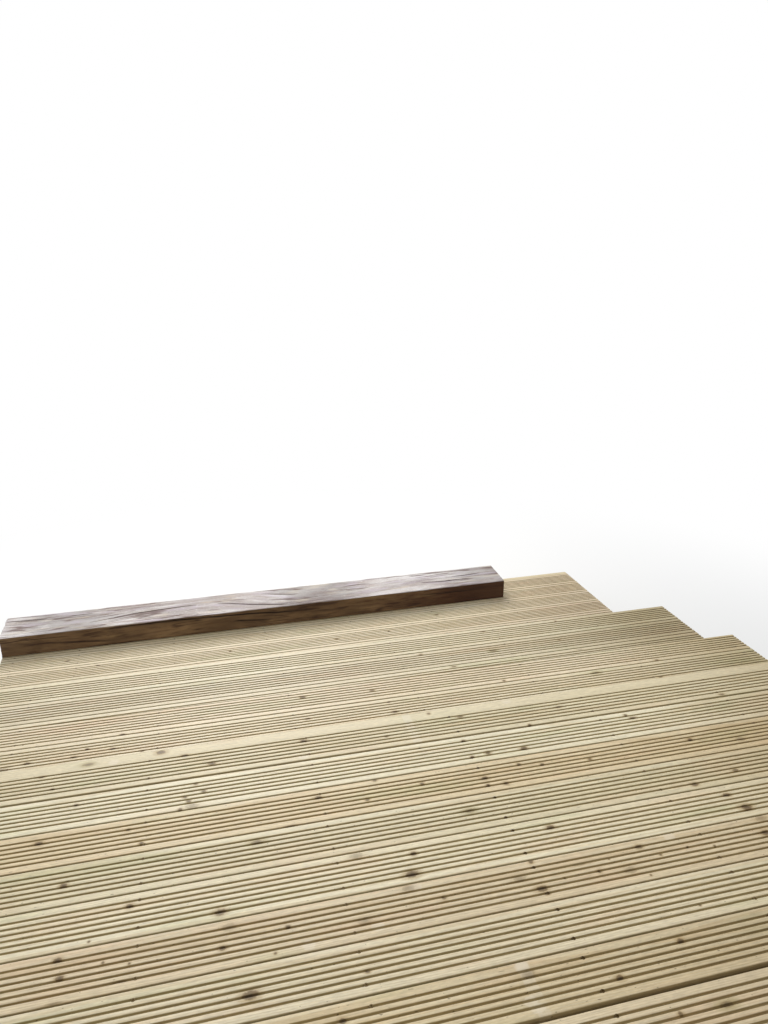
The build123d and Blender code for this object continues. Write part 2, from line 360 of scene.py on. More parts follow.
class Tree:
    """Short ways to add nodes to a material or to the world."""

    def __init__(self, owner, output="ShaderNodeOutputMaterial"):
        owner.use_nodes = True
        self.owner = owner
        self.nodes = owner.node_tree.nodes
        self.links = owner.node_tree.links
        self.nodes.clear()
        self.output = self.nodes.new(output)

    def put(self, socket, value):
        """Links the socket to another one or sets it to a value."""
        if isinstance(value, bpy.types.NodeSocket):
            self.links.new(value, socket)
        else:
            socket.default_value = (*value, 1.0) if socket.type == "RGBA" else value

    def add(self, kind, inputs=(), **settings):
        """A node with these settings and inputs."""
        node = self.nodes.new(kind)
        for name, setting in settings.items():
            setattr(node, name, setting)
        for key, value in inputs.items() if isinstance(inputs, dict) else enumerate(inputs):
            self.put(node.inputs[key], value)
        return node

    def attribute(self, name, output="Vector"):
        return self.add("ShaderNodeAttribute", attribute_name=name).outputs[output]

    def object_place(self):
        return self.add("ShaderNodeTexCoord").outputs["Object"]

    def split(self, vector):
        return self.add("ShaderNodeSeparateXYZ", [vector]).outputs

    def join(self, x, y, z):
        return self.add("ShaderNodeCombineXYZ", (x, y, z)).outputs[0]

    def math(self, operation, *values, **settings):
        return self.add("ShaderNodeMath", values, operation=operation, **settings).outputs[0]

    def plus(self, a, b):
        return self.math("ADD", a, b)

    def minus(self, a, b):
        return self.math("SUBTRACT", a, b)

    def times(self, a, b):
        return self.math("MULTIPLY", a, b)

    def scaled(self, value, factor, offset):
        return self.math("MULTIPLY_ADD", value, factor, offset)

    def length(self, a, b):
        return self.math("SQRT", self.plus(self.times(a, a), self.times(b, b)))

    def noise(self, vector, scale=1.0, detail=2.0, roughness=0.5):
        inputs = {"Vector": vector, "Scale": scale, "Detail": detail, "Roughness": roughness}
        return self.add("ShaderNodeTexNoise", inputs).outputs["Fac"]

    def streaks(self, rates, detail=2.0, roughness=0.5, offset=(0, 0, 0)):
        """Noise with so many waves to a metre along the grain and across it."""
        inputs = (self.attribute("grain"), rates, offset)
        place = self.add("ShaderNodeVectorMath", inputs, operation="MULTIPLY_ADD")
        return self.noise(place.outputs[0], 1.0, detail, roughness)

    def band(self, value, low, high, most=1.0):
        """A smooth step from 0 where the value is low to most where it is high."""
        ends = (value, low, high, 0.0, most)
        return self.add("ShaderNodeMapRange", ends, interpolation_type="SMOOTHSTEP").outputs[0]

    def mix(self, factor, a, b, blend="MIX"):
        inputs = {0: factor, 6: a, 7: b}
        return self.add("ShaderNodeMix", inputs, data_type="RGBA", blend_type=blend).outputs[2]

    def shaded(self, colour, shade):
        """The colour made as bright as the shade says."""
        return self.mix(1.0, colour, self.join(shade, shade, shade), "MULTIPLY")

    def paint(self, colour, where, most, over, blend="MIX"):
        """Lays a colour over another, with a strength of most where `where` is 1."""
        return self.mix(self.times(where, most), colour, over, blend)

    def layers(self, colour, *rows):
        """Lays colours over one another, each by a value, its low and high, a strength and a colour."""
        for value, low, high, most, over in rows:
            colour = self.mix(self.band(value, low, high, most), colour, linear(*over))
        return colour

    def late_wood(self, radius, width, start, stop):
        """The dark part of each growth ring, from 0 to 1."""
        ring = self.math("FRACT", self.math("DIVIDE", radius, width))
        return self.times(self.band(ring, start, 0.9), self.band(ring, 1.0, stop))

    def camera_rays(self):
        """1 for what the camera sees, also in gloss and through glass, and 0 for other light."""
        path = self.add("ShaderNodeLightPath")
        total = path.outputs["Is Camera Ray"]
        for name in ("Is Glossy Ray", "Is Transmission Ray"):
            total = self.math("ADD", total, path.outputs[name], use_clamp=True)
        return total

    def blend(self, share, first, second):
        sockets = (share, first.outputs[0], second.outputs[0])
        return self.add("ShaderNodeMixShader", sockets)

    def finish(self, shader):
        """Sends a shader to the output."""
        self.put(self.output.inputs["Surface"], shader.outputs[0])
        return self.owner

    def solid(self, inputs):
        """The usual shader of solid objects."""
        return self.add("ShaderNodeBsdfPrincipled", inputs)

    def finish_rough(self, surface, height, strength, distance):
        """Sends a solid surface with bumps of this height to the output."""
        bump = self.add("ShaderNodeBump", {"Strength": strength, "Distance": distance, "Height": height})
        return self.finish(self.solid({**surface, "Normal": bump.outputs[0]}))


def knot_fields(tree):
    """How near each point is to the knots and marks whose places the mesh carries."""
    uneven = tree.scaled(tree.streaks((90, 130, 130), 3.0, 0.6), 1.0, -0.5)
    fields = dict.fromkeys((*KNOT_PARTS, "bend"), 0.0)
    for name in KNOT_LAYERS:
        x, y, dark = tree.split(tree.attribute(name))
        distance = tree.length(x, y)
        ragged = tree.plus(distance, uneven)
        strengths = {
            "knot": tree.math("MAXIMUM", dark, 0.0),
            "mark": tree.times(tree.math("MINIMUM", dark, 0.0), -1.0),
            "stain": tree.attribute(name, "Alpha"),
        }
        for part, (kind, start, full) in KNOT_PARTS.items():
            here = tree.times(tree.band(ragged, start, full), strengths[kind])
            fields[part] = tree.math("MAXIMUM", fields[part], here)
        bend = tree.times(tree.band(distance, *KNOT_BEND), tree.times(y, strengths["knot"]))
        fields["bend"] = tree.plus(fields["bend"], bend)
    return fields


def paint_knots(tree, colour, fields):
    """Colours green stains, pale marks and knots with their halos."""
    fine = tree.streaks((400, 800, 800), 2.0, 0.6)
    for part, most, over in (
        ("green", 0.55, linear(158, 156, 104)),
        ("pale", 0.45, linear(238, 226, 204)),
        ("halo", 0.6, linear(168, 141, 92)),
        ("core", 0.8, tree.mix(fine, linear(120, 90, 38), linear(74, 52, 16))),
        ("heart", 0.5, linear(50, 34, 8)),
    ):
        colour = tree.paint(colour, fields[part], most, over)
    return colour


def board_rings(tree, bend):
    """The late wood of a board, which wanders along it and bends around its knots."""
    _, y, z = tree.split(tree.attribute("grain"))
    drift = tree.streaks((0.9, 0, 0), 1.0)
    lean = tree.streaks((0.8, 0, 0), 1.0, offset=(31, 0, 0))
    aside = tree.plus(y, tree.scaled(drift, 0.05, -0.025))
    aside = tree.minus(aside, tree.times(bend, 0.004))
    above = tree.plus(z, tree.scaled(lean, 0.03, -0.015))
    ripple = tree.times(tree.streaks((4, 60, 60)), 0.0022)
    return tree.late_wood(tree.plus(tree.length(aside, above), ripple), BOARD_RING, 0.35, 0.93)


def rubbed_stripe(tree, mottle, patch):
    """A patchy pale stripe straight across the boards whose tint says so."""
    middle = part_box("upper_board_01")[0][0] + STRIPE_PLACE
    beside = tree.math("ABSOLUTE", tree.minus(tree.split(tree.object_place())[0], middle))
    ragged = tree.scaled(mottle, STRIPE_EDGE, beside)
    stripe = tree.band(ragged, STRIPE_WIDTH / 2 + STRIPE_EDGE, STRIPE_WIDTH / 2)
    return tree.times(tree.times(stripe, tree.attribute("tint", "Alpha")), tree.band(patch, 0.3, 0.6))


def board_material():
    """New treated softwood, with painted shade down in its grooves and gaps."""
    tree = Tree(bpy.data.materials.new("grooved_board_wood"))
    depth = tree.attribute("depth", "Fac")
    knots = knot_fields(tree)
    fibre = tree.streaks((14, 1500, 1500), 3.0, 0.6)
    streak = tree.streaks((5, 300, 300), 3.0, 0.6)
    mottle = tree.streaks((42, 190, 190), 3.0, 0.65)
    patch = tree.streaks((1.7, 11, 11), 3.0, 0.55)
    damp = tree.streaks((2.6, 15, 9), offset=(9, 4, 2))
    specks = tree.streaks((110, 330, 330), 0.0)

    colour = tree.mix(patch, linear(222, 208, 174), linear(237, 226, 199))
    colour = tree.paint(colour, board_rings(tree, knots["bend"]), 0.34, linear(200, 170, 120))
    colour = tree.layers(
        colour,
        (damp, 0.56, 0.72, 0.42, (203, 200, 158)),
        (damp, 0.42, 0.3, 0.3, (228, 200, 166)),
    )
    shade = tree.scaled(fibre, 0.2, 0.37)
    shade = tree.plus(shade, tree.times(streak, 0.42))
    shade = tree.plus(shade, tree.times(mottle, 0.64))
    colour = tree.shaded(colour, shade)
    # The tint holds each board's own tone and the painted shade towards its right end
    colour = tree.mix(1.0, colour, tree.attribute("tint", "Color"), "MULTIPLY")
    colour = tree.mix(rubbed_stripe(tree, mottle, patch), colour, linear(240, 230, 210))
    colour = tree.layers(colour, (specks, 0.82, 0.86, 0.7, (96, 76, 46)))
    colour = paint_knots(tree, colour, knots)
    # Grooves and gaps get painted shade: the colour darkened by the depth attribute
    groove = tree.mix(1.0, colour, linear(181, 170, 139), "MULTIPLY")

    rough = tree.scaled(mottle, 0.25, 0.36)
    surface = {
        "Base Color": tree.mix(depth, colour, groove),
        "Roughness": tree.scaled(depth, 0.3, rough),
        "Specular IOR Level": 0.45,
    }
    height = tree.plus(tree.times(fibre, 0.5), tree.times(mottle, 0.7))
    height = tree.minus(height, tree.times(knots["core"], 0.8))
    return tree.finish_rough(surface, height, 0.45, 0.0008)


def frame_material(name, pale, dark, roughness):
    """Sawn framing timber with rings, saw marks and a green cast."""
    tree = Tree(bpy.data.materials.new(name))
    _, y, z = tree.split(tree.attribute("grain"))
    aside = tree.plus(y, tree.scaled(tree.streaks((0.8, 0, 0), 1.0), 0.06, -0.03))
    ripple = tree.times(tree.streaks((4, 40, 40), 3.0), 0.004)
    late = tree.late_wood(tree.plus(tree.length(aside, z), ripple), FRAME_RING, 0.3, 0.92)
    fibre = tree.streaks((18, 900, 900), 4.0, 0.6)
    patch = tree.streaks((2.0, 10, 10), 3.0)
    saw = tree.streaks((420, 14, 14), 1.0)

    colour = tree.mix(patch, linear(*pale), linear(*dark))
    colour = tree.paint(colour, late, 0.45, linear(122, 100, 58))
    surface = {
        "Base Color": tree.shaded(colour, tree.scaled(fibre, 0.4, 0.8)),
        "Roughness": tree.scaled(fibre, 0.2, roughness),
    }
    return tree.finish_rough(surface, tree.plus(fibre, tree.times(saw, 0.5)), 0.5, 0.0012)


def beam_stains(tree, x, blot):
    """Where the beam is stained, from 0 to 1."""
    along = tree.scaled(blot, 0.5, tree.minus(x, 0.25))
    stained = 0.0
    for middle, reach in BEAM_STAINS:
        away = tree.math("ABSOLUTE", tree.minus(along, middle))
        here = tree.band(away, reach + STAIN_EDGE, reach - STAIN_EDGE)
        stained = tree.math("MAXIMUM", stained, here)
    return stained


def beam_end_colour(tree, y, z, broad):
    """Growth rings and cracks from the heart, on the beam's sawn ends."""
    from_heart = [tree.minus(place, heart) for place, heart in zip((y, z), BEAM_HEART)]
    radius = tree.length(*from_heart)
    turn = tree.math("ARCTAN2", *from_heart)
    rays = tree.join(tree.times(turn, 9.0), tree.times(radius, 12.0), 0.0)
    cracks = tree.noise(rays, 1.0, 3.0, 0.6)
    ring = tree.math("FRACT", tree.math("DIVIDE", tree.scaled(broad, 0.004, radius), BEAM_RING))
    colour = tree.mix(tree.band(ring, 0.3, 0.95), linear(132, 108, 80), linear(92, 68, 47))
    return tree.layers(colour, (cracks, 0.6, 0.68, 0.8, (44, 31, 22)))


def beam_material():
    """Old wood: bleached pink-grey on top, brown on its sides, with painted shade in its splits and under
    its chipped front edge.
    """
    tree = Tree(bpy.data.materials.new("weathered_beam_wood"))
    x, y, z = tree.split(tree.attribute("grain"))
    fibre = tree.streaks((9, 520, 520), 5.0, 0.65)
    broad = tree.streaks((3.6, 60, 60), 3.0, 0.6)
    patch = tree.streaks((2.4, 8, 8), 3.0, 0.6, (5, 3, 1))
    blot = tree.streaks((9, 62, 62), 4.0, 0.7, (3, 8, 2))
    hair = tree.streaks((2.6, 190, 190), 3.0, 0.65, (1, 7, 4))
    speck = tree.streaks((90, 260, 260), 2.0, 0.6, (2, 5, 9))
    lilac = tree.streaks((5, 26, 26), 2.0, 0.6, (8, 2, 6))
    line = tree.streaks((2.4, 46, 46), 2.0, 0.5, (4, 2, 8))
    where = tree.streaks((4, 16, 16), 2.0, 0.5, (6, 1, 3))
    checks = tree.band(tree.math("ABSOLUTE", tree.minus(line, 0.5)), 0.05, 0.012)
    checks = tree.times(checks, tree.band(where, 0.47, 0.56))
    stained = beam_stains(tree, x, blot)

    top = tree.mix(tree.band(patch, 0.36, 0.62), linear(226, 222, 220), linear(182, 173, 170))
    top = tree.layers(
        top,
        (blot, 0.5, 0.68, 0.5, (176, 154, 144)),
        (speck, 0.58, 0.72, 0.45, (150, 128, 116)),
        (speck, 0.42, 0.3, 0.5, (240, 238, 236)),
        (broad, 0.52, 0.7, 0.55, (164, 144, 132)),
        (broad, 0.44, 0.3, 0.6, (234, 230, 228)),
    )
    top = tree.paint(top, stained, 0.85, linear(198, 196, 195), "MULTIPLY")
    top = tree.layers(
        top,
        (lilac, 0.54, 0.66, 0.4, (198, 186, 200)),
        (lilac, 0.44, 0.34, 0.35, (226, 214, 194)),
        (fibre, 0.54, 0.74, 0.6, (124, 106, 98)),
    )
    top = tree.paint(top, checks, 0.75, linear(98, 76, 70))
    top = tree.layers(top, (hair, 0.62, 0.7, 0.8, (92, 70, 62)))

    side = tree.mix(tree.band(patch, 0.36, 0.62), linear(136, 109, 78), linear(98, 76, 53))
    side = tree.layers(
        side,
        (blot, 0.5, 0.66, 0.6, (78, 56, 39)),
        (broad, 0.53, 0.7, 0.6, (70, 48, 33)),
        (broad, 0.45, 0.3, 0.55, (150, 124, 86)),
        (fibre, 0.55, 0.75, 0.5, (58, 40, 27)),
        (tree.scaled(blot, 1.2, x), 2.2, 3.0, 0.78, (66, 35, 18)),
    )
    side = tree.paint(side, stained, 0.6, linear(198, 190, 186), "MULTIPLY")
    side = tree.paint(side, checks, 0.7, linear(52, 32, 22))
    side = tree.layers(side, (hair, 0.64, 0.72, 0.7, (40, 27, 18)))

    across, _, up = tree.split(tree.add("ShaderNodeNewGeometry").outputs["Normal"])
    faces_up = tree.band(tree.scaled(fibre, 0.3, up), 0.55, 0.95)
    faces_up = tree.times(faces_up, tree.band(z, BEAM_HEIGHT - 0.016, BEAM_HEIGHT - 0.006))
    faces_end = tree.band(tree.math("ABSOLUTE", across), 0.8, 0.95)
    colour = tree.mix(faces_up, side, top)
    colour = tree.mix(faces_end, colour, beam_end_colour(tree, y, z, broad))
    # Painted shade in the splits and under the chipped edge darkens the colour, by the depth attribute
    surface = {
        "Base Color": tree.mix(tree.attribute("depth", "Fac"), colour, linear(46, 32, 22)),
        "Roughness": tree.scaled(fibre, 0.15, 0.72),
        "Specular IOR Level": 0.3,
    }
    height = tree.minus(tree.plus(fibre, broad), tree.band(hair, 0.58, 0.68))
    return tree.finish_rough(surface, height, 0.6, 0.002)


def screw_material(name, dark, worn):
    """Coated steel with a little wear; the dark screws' colours also hold painted shade of their
    countersunk holes.
    """
    tree = Tree(bpy.data.materials.new(name))
    wear = tree.noise(tree.object_place(), 900.0, 3.0, 0.6)
    return tree.finish(tree.solid({
        "Base Color": tree.mix(wear, linear(*dark), linear(*worn)),
        "Metallic": 0.1,
        "Specular IOR Level": 0.12,
        "Roughness": tree.scaled(wear, 0.25, 0.35),
    }))


def add_object(name, data):
    """Puts a mesh, lamp or camera in the scene."""
    thing = bpy.data.objects.new(name, data)
    bpy.context.scene.collection.objects.link(thing)
    return thing


def add_piece(mesh, material, sharp, place=Matrix.Identity(4), node=None):
    """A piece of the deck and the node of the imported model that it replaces."""
    mesh.shade_smooth()
    mesh.set_sharp_from_angle(angle=math.radians(sharp))
    mesh.transform(place)
    mesh.materials.append(material)
    piece = add_object(mesh.name, mesh)
    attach(piece, "root")
    if node:
        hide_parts(node)


def add_attribute(mesh, name, values):
    """Stores one value for each vertex: a number, a vector or a colour."""
    values = np.asarray(values, dtype=np.float32).reshape(len(mesh.vertices), -1)
    kinds = {1: ("FLOAT", "value"), 3: ("FLOAT_VECTOR", "vector"), 4: ("FLOAT_COLOR", "color")}
    kind, field = kinds[values.shape[1]]
    mesh.attributes.new(name, kind, "POINT").data.foreach_set(field, values.ravel())


def tube_faces(rings, count, turned=False):
    """Faces of a tube of rings of points, closed at both ends. Turned is for rings that run the
    other way around."""
    faces = []
    for a in range(0, (rings - 1) * count, count):
        for index in range(count):
            after = (index + 1) % count
            face = (a + index, a + after, a + count + after, a + count + index)
            faces.append((face[0], *face[:0:-1]) if turned else face)
    first = tuple(range(count))
    last = tuple(range((rings - 1) * count, rings * count))
    return faces + ([first, last[::-1]] if turned else [first[::-1], last])


def board_skew(name):
    """How far a board is turned from the X axis."""
    if name.startswith("lower"):
        return LOWER_SKEW
    return NOSING_SKEW if name.startswith(("middle_nosing", "middle_second", "middle_riser")) else 0.0


def eased(corners, steps=3):
    """Points along a closed outline whose corners (y, z, radius) are rounded."""
    points = []
    count = len(corners)
    for index, (y, z, radius) in enumerate(corners):
        here = Vector((y, z))
        before = Vector(corners[index - 1][:2])
        after = Vector(corners[(index + 1) % count][:2])
        back = (before - here).normalized() * radius
        ahead = (after - here).normalized() * radius
        for step in range(steps + 1):
            share = step / steps
            points.append(here + back * (1 - share) ** 2 + ahead * share ** 2)
    return points


def board_section(plain):
    """Outline of a board across its width, from the rear bottom corner over the top."""
    width = BOARD_WIDTH + plain
    top = -RIB_SKIM
    corners = [(0.0, -BOARD_THICKNESS, UNDER_CORNER), (0.0, top, BOARD_CORNER)]
    for number in range(GROOVE_COUNT):
        middle = BOARD_WIDTH / 2 - GROOVE_SPAN / 2 + number * GROOVE_PITCH
        corners += [
            (middle - GROOVE_WIDTH / 2, top, RIB_CORNER),
            (middle - GROOVE_FLOOR / 2, -GROOVE_DEPTH, FLOOR_CORNER),
            (middle + GROOVE_FLOOR / 2, -GROOVE_DEPTH, FLOOR_CORNER),
            (middle + GROOVE_WIDTH / 2, top, RIB_CORNER),
        ]
    corners.append((width, top, NOSE_CORNER if plain else BOARD_CORNER))
    corners.append((width, -BOARD_THICKNESS, UNDER_CORNER))
    return np.array([tuple(p) for p in eased(corners)])


def inset(section, amount):
    """The outline moved inwards, as at a board's eased end or where the beam is worn."""
    along = np.zeros_like(section)
    for shift in (0, 1):
        step = np.roll(section, shift - 1, axis=0) - np.roll(section, shift, axis=0)
        along += step / np.linalg.norm(step, axis=1, keepdims=True)
    along /= np.linalg.norm(along, axis=1, keepdims=True)
    return section + amount * np.stack([along[:, 1], -along[:, 0]], axis=1)


def share_knots(knots):
    """Deals knots to layers in which no two lie near each other along the board."""
    shared = [[] for _ in KNOT_LAYERS]
    for knot in sorted(knots):
        for layer in shared:
            start = knot.x - KNOT_REACH * knot.half_length
            if not layer or start > layer[-1].x + KNOT_REACH * layer[-1].half_length:
                layer.append(knot)
                break
    return shared


def knot_values(layer, along, across):
    """Each point's place from its knot, in knot sizes, and how dark and green the knot is."""
    values = np.zeros((len(along), 4))
    values[:, 0] = KNOT_FAR
    for knot in layer:
        away = np.abs(along - knot.x) / knot.half_length
        near = away < KNOT_REACH * KNOT_MARGIN
        inner = away < KNOT_CORE_REACH * KNOT_MARGIN
        values[near, 0] = (along[near] - knot.x) / knot.half_length
        values[near, 1] = (across[near] - knot.y) / knot.half_width
        values[inner, 2] = knot.dark
        values[inner, 3] = knot.green
    return values


def groove_shade(points, width, open_rear, open_front):
    """Painted shade at each point, from 0 on the ribs to 1 down in a groove. Sides facing a gap get less,
    open sides and the underside none.
    """
    shade = np.clip((-points[:, 2] - RIB_SKIM) / SHADE_DEPTH, 0.0, 1.0)
    rear = points[:, 1] < BOARD_CORNER
    front = points[:, 1] > width - BOARD_CORNER
    shade[(points[:, 2] < -SHADE_FLOOR) & ~rear & ~front] = 0.0
    shade[rear] *= 0.0 if open_rear else GAP_SHADE
    shade[front] *= 0.0 if open_front else GAP_SHADE
    return shade


def tint_and_right_shade(tint, along, name):
    """The board's tint at each point, with painted shade that darkens it towards its right end."""
    values = np.tile(tint, (len(along), 1))
    for names, (start, run, last) in RIGHT_END_SHADE.items():
        if name.startswith(names):
            share = np.clip((along - start) / run, 0.0, 1.0)[:, None] ** RIGHT_SHADE_CURVE
            values[:, :3] *= 1 - share * (1 - np.array(last))
            break
    return values


def board_rows(start, end, layers):
    """Places along a board of its rings of points, some of them for its knots."""
    places = {start, start + END_EASE, end - END_EASE, end}
    places.update(np.linspace(start + RING_MARGIN, end - RING_MARGIN, RING_COUNT))
    for layer in layers:
        for knot in layer:
            for reach in (KNOT_REACH * knot.half_length, KNOT_CORE_REACH * knot.half_length):
                places.update((knot.x - reach, knot.x + reach))
    return np.array(sorted(place for place in places if start <= place <= end))


def edge_cut(name):
    """Where a ripped board is cut along its edge, and the side that goes."""
    amount, side = RIPPED[name]
    return (0, BOARD_WIDTH - amount if side > 0 else amount, 0), (0, side, 0)


def cut_mesh(mesh, point, normal):
    """Cuts away the side that normal points to and closes the cut."""
    work = bmesh.new()
    work.from_mesh(mesh)
    geometry = work.verts[:] + work.edges[:] + work.faces[:]
    cut = bmesh.ops.bisect_plane(work, geom=geometry, plane_co=point, plane_no=normal, clear_outer=True)
    edges = [e for e in cut["geom_cut"] if isinstance(e, bmesh.types.BMEdge)]
    bmesh.ops.holes_fill(work, edges=edges)
    work.to_mesh(mesh)
    work.free()


def grooved_board(name, length, tint, knots, plain=0.0, cut=None, bow=0.0, open_edges=(False, False)):
    """One grooved board: x from 0 to length, y from 0 at its rear edge, top at z = 0."""
    section = board_section(plain)
    start = max(0.0, rng.uniform(*END_SHORT))
    end = length - max(0.0, rng.uniform(*END_SHORT))
    layers = share_knots(knots)
    rows = board_rows(start, end, layers)
    rings = np.tile(section, (len(rows), 1, 1))
    rings[[0, -1]] = inset(section, END_EASE)
    rings[:, :, 0] += bow * np.sin(math.pi * rows / length)[:, None]
    along = np.repeat(rows, len(section))
    points = np.column_stack([along, rings.reshape(-1, 2)])
    mesh = bpy.data.meshes.new(name)
    mesh.from_pydata(points.tolist(), [], tube_faces(len(rows), len(section)))
    heart = [rng.uniform(0, GRAIN_REACH), rng.uniform(*HEART_ASIDE)]
    heart.append(rng.choice((-1, 1)) * rng.uniform(*HEART_HEIGHT))
    add_attribute(mesh, "grain", points + heart)
    # The depth attribute carries the painted shade of grooves and gaps
    add_attribute(mesh, "depth", groove_shade(points, BOARD_WIDTH + plain, *open_edges))
    # The tint carries painted shade towards the board's right end
    add_attribute(mesh, "tint", tint_and_right_shade(tint, along, name))
    for layer, label in zip(layers, KNOT_LAYERS):
        add_attribute(mesh, label, knot_values(layer, along, points[:, 1]))
    if cut:
        cut_mesh(mesh, *cut)
    return mesh


def seen_knots():
    """The knots of the photograph, each moved along its line of sight onto the boards."""
    camera = bpy.context.scene.camera.matrix_world
    eye = camera.translation
    levels = [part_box(name)[1] for name in LEVEL_ENDS]
    knots = []
    for kind, pixels in KNOTS_SEEN.items():
        for across, down in pixels:
            x = (across - PHOTO_SIZE[0] / 2) / FOCAL_PIXELS
            y = (PHOTO_SIZE[1] / 2 - down) / FOCAL_PIXELS
            aim = camera.to_3x3() @ Vector((x, y, -1))
            for _, edge, top in levels:
                point = eye + aim * ((top - eye.z) / aim.z)
                if point.y <= edge:
                    break
            knots.append((point, kind))
    return knots


def in_photo(point):
    """True where the photograph shows this place."""
    local = bpy.context.scene.camera.matrix_world.inverted() @ point
    if local.z >= 0:
        return False
    across = PHOTO_SIZE[0] / 2 + FOCAL_PIXELS * local.x / -local.z
    down = PHOTO_SIZE[1] / 2 - FOCAL_PIXELS * local.y / -local.z
    return 0 < across < PHOTO_SIZE[0] and 0 < down < PHOTO_SIZE[1]


def board_knots(place, length, width, count, seen=None):
    """Knots seen on a board, and others where the photograph doesn't show it. Seen is left out
    for boards that it doesn't show at all."""
    knots = []
    inverse = place.inverted()
    for point, kind in seen or ():
        local = inverse @ point
        if 0 < local.x < length and 0 <= local.y < width and abs(local.z) < ON_BOARD:
            knots.append(Knot(local.x, local.y, *kind))
    for _ in range(count):
        size = rng.uniform(*KNOT_SIZES)
        x = rng.uniform(KNOT_FROM_END, length - KNOT_FROM_END)
        y = rng.uniform(KNOT_FROM_EDGE, width - KNOT_FROM_EDGE)
        dark = rng.uniform(*KNOT_DARKNESS)
        if seen is None or not in_photo(place @ Vector((x, y, 0))):
            knots.append(Knot(x, y, size, size * KNOT_SLIMNESS, dark))
    return knots


def rectangle(node):
    """Centre, length and width of a skewed board, read from its box."""
    skew = board_skew(node)
    low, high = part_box(node)
    span_x = high[0] - low[0]
    span_y = high[1] - low[1]
    length = (span_x * math.cos(skew) - span_y * math.sin(skew)) / math.cos(2 * skew)
    width = (span_y * math.cos(skew) - span_x * math.sin(skew)) / math.cos(2 * skew)
    centre = Vector(((low[0] + high[0]) / 2, (low[1] + high[1]) / 2, high[2]))
    return centre, length, width


def flat_place(centre, length, width, skew):
    """Matrix that lays a board, drawn from its rear left corner, on its centre."""
    corner = Matrix.Translation((-length / 2, -width / 2, 0))
    return Matrix.Translation(centre) @ Matrix.Rotation(skew, 4, "Z") @ corner


def board_tint(name):
    """The board's tone, a little different for each, and how much of the stripe it has."""
    tone = rng.uniform(0.95, 1.0)
    warm = rng.uniform(-0.015, 0.02)
    varied = (tone * (1 + warm), tone, tone * (1 - 1.4 * warm))
    own = BOARD_TINTS.get(name, (1.0, 1.0, 1.0))
    stripe = STRIPE_STRENGTH if name in STRIPE_BOARDS else 0.0
    return (*(a * b for a, b in zip(varied, own)), stripe)


def joist_places(length):
    """Where the joists cross a level, from its left end."""
    places = [JOIST_END]
    place = JOIST_FIRST
    while place < length - JOIST_END - 2 * JOIST_THICKNESS:
        places.append(place)
        place += JOIST_SPACING
    places.append(length - JOIST_END)
    return places


def board_screws(name, length, place, screws):
    """Two screws where a board crosses each joist, one row of them dark."""
    for x in joist_places(length):
        dark = name.startswith("upper") and abs(x - DARK_SCREW_ROW) < JOIST_SPACING / 2
        for y in (BOARD_WIDTH / 2 - GROOVE_SPAN / 2, BOARD_WIDTH / 2 + GROOVE_SPAN / 2):
            along, aside = (rng.uniform(-stray, stray) for stray in SCREW_STRAY)
            spot = place @ Vector((x + SCREW_OFFSET + along, y + aside, -SCREW_SINK))
            screws["dark_screws" if dark else "tan_screws"].append(spot)


def build_boards(material, seen, screws):
    """Every grooved board that lies flat, apart from the tapered one."""
    for name in sorted(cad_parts):
        if not name.startswith(FLAT_BOARDS):
            continue
        centre, length, _ = rectangle(name)
        plain = NOSING_PLAIN if name == "upper_board_01" else 0.0
        width = BOARD_WIDTH + plain
        open_edges = (name in REAR_EDGES, name in FRONT_EDGES)
        cut = None
        if name in RIPPED:
            amount, side = RIPPED[name]
            centre.y += side * amount / 2
            cut = edge_cut(name)
        place = flat_place(centre, length, width, board_skew(name))
        bow = 0.0 if any(open_edges) or cut else rng.uniform(-BOW, BOW)
        knots = board_knots(place, length, width, rng.randint(*KNOTS_FLAT), seen)
        tint = board_tint(name)
        mesh = grooved_board(name + "_wood", length, tint, knots, plain, cut, bow, open_edges)
        add_piece(mesh, material, SHARP_WOOD, place, name)
        board_screws(name, length, place, screws)


def build_tapered(material, seen):
    """The board laid at the skew of its neighbour in front and ripped along the one behind."""
    name = "tapered_infill_board"
    centre, length, _ = rectangle("middle_second_board")
    behind = Matrix.Rotation(NOSING_SKEW, 4, "Z") @ Vector((0, -BOARD_WIDTH - BOARD_GAP, 0))
    place = flat_place(centre + behind, length, BOARD_WIDTH, NOSING_SKEW)
    inverse = place.inverted()
    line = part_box("middle_board_4")[1][1] + BOARD_GAP
    cut = (inverse @ Vector((0, line, 0)), inverse.to_3x3() @ Vector((0, -1, 0)))
    knots = board_knots(place, length, BOARD_WIDTH, KNOTS_TAPERED, seen)
    mesh = grooved_board("tapered_infill_wood", length, board_tint(name), knots, cut=cut)
    add_piece(mesh, material, SHARP_WOOD, place, name)


def build_risers(material):
    """Boards on edge under the two nosings, grooves to the front."""
    upright = Matrix.Rotation(math.radians(-90), 4, "X")
    for name in RISERS:
        skew = board_skew(name)
        low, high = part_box(name)
        length = (high[0] - low[0] - BOARD_THICKNESS * math.sin(skew)) / math.cos(skew)
        corner = Vector((low[0], low[1] + BOARD_THICKNESS * math.cos(skew), high[2]))
        place = Matrix.Translation(corner) @ Matrix.Rotation(skew, 4, "Z") @ upright
        cut = edge_cut(name) if name in RIPPED else None
        knots = board_knots(place, length, BOARD_WIDTH, KNOTS_RISER)
        tint = board_tint(name)
        mesh = grooved_board(name + "_wood", length, tint, knots, cut=cut, open_edges=(True, True))
        add_piece(mesh, material, SHARP_WOOD, place, name)


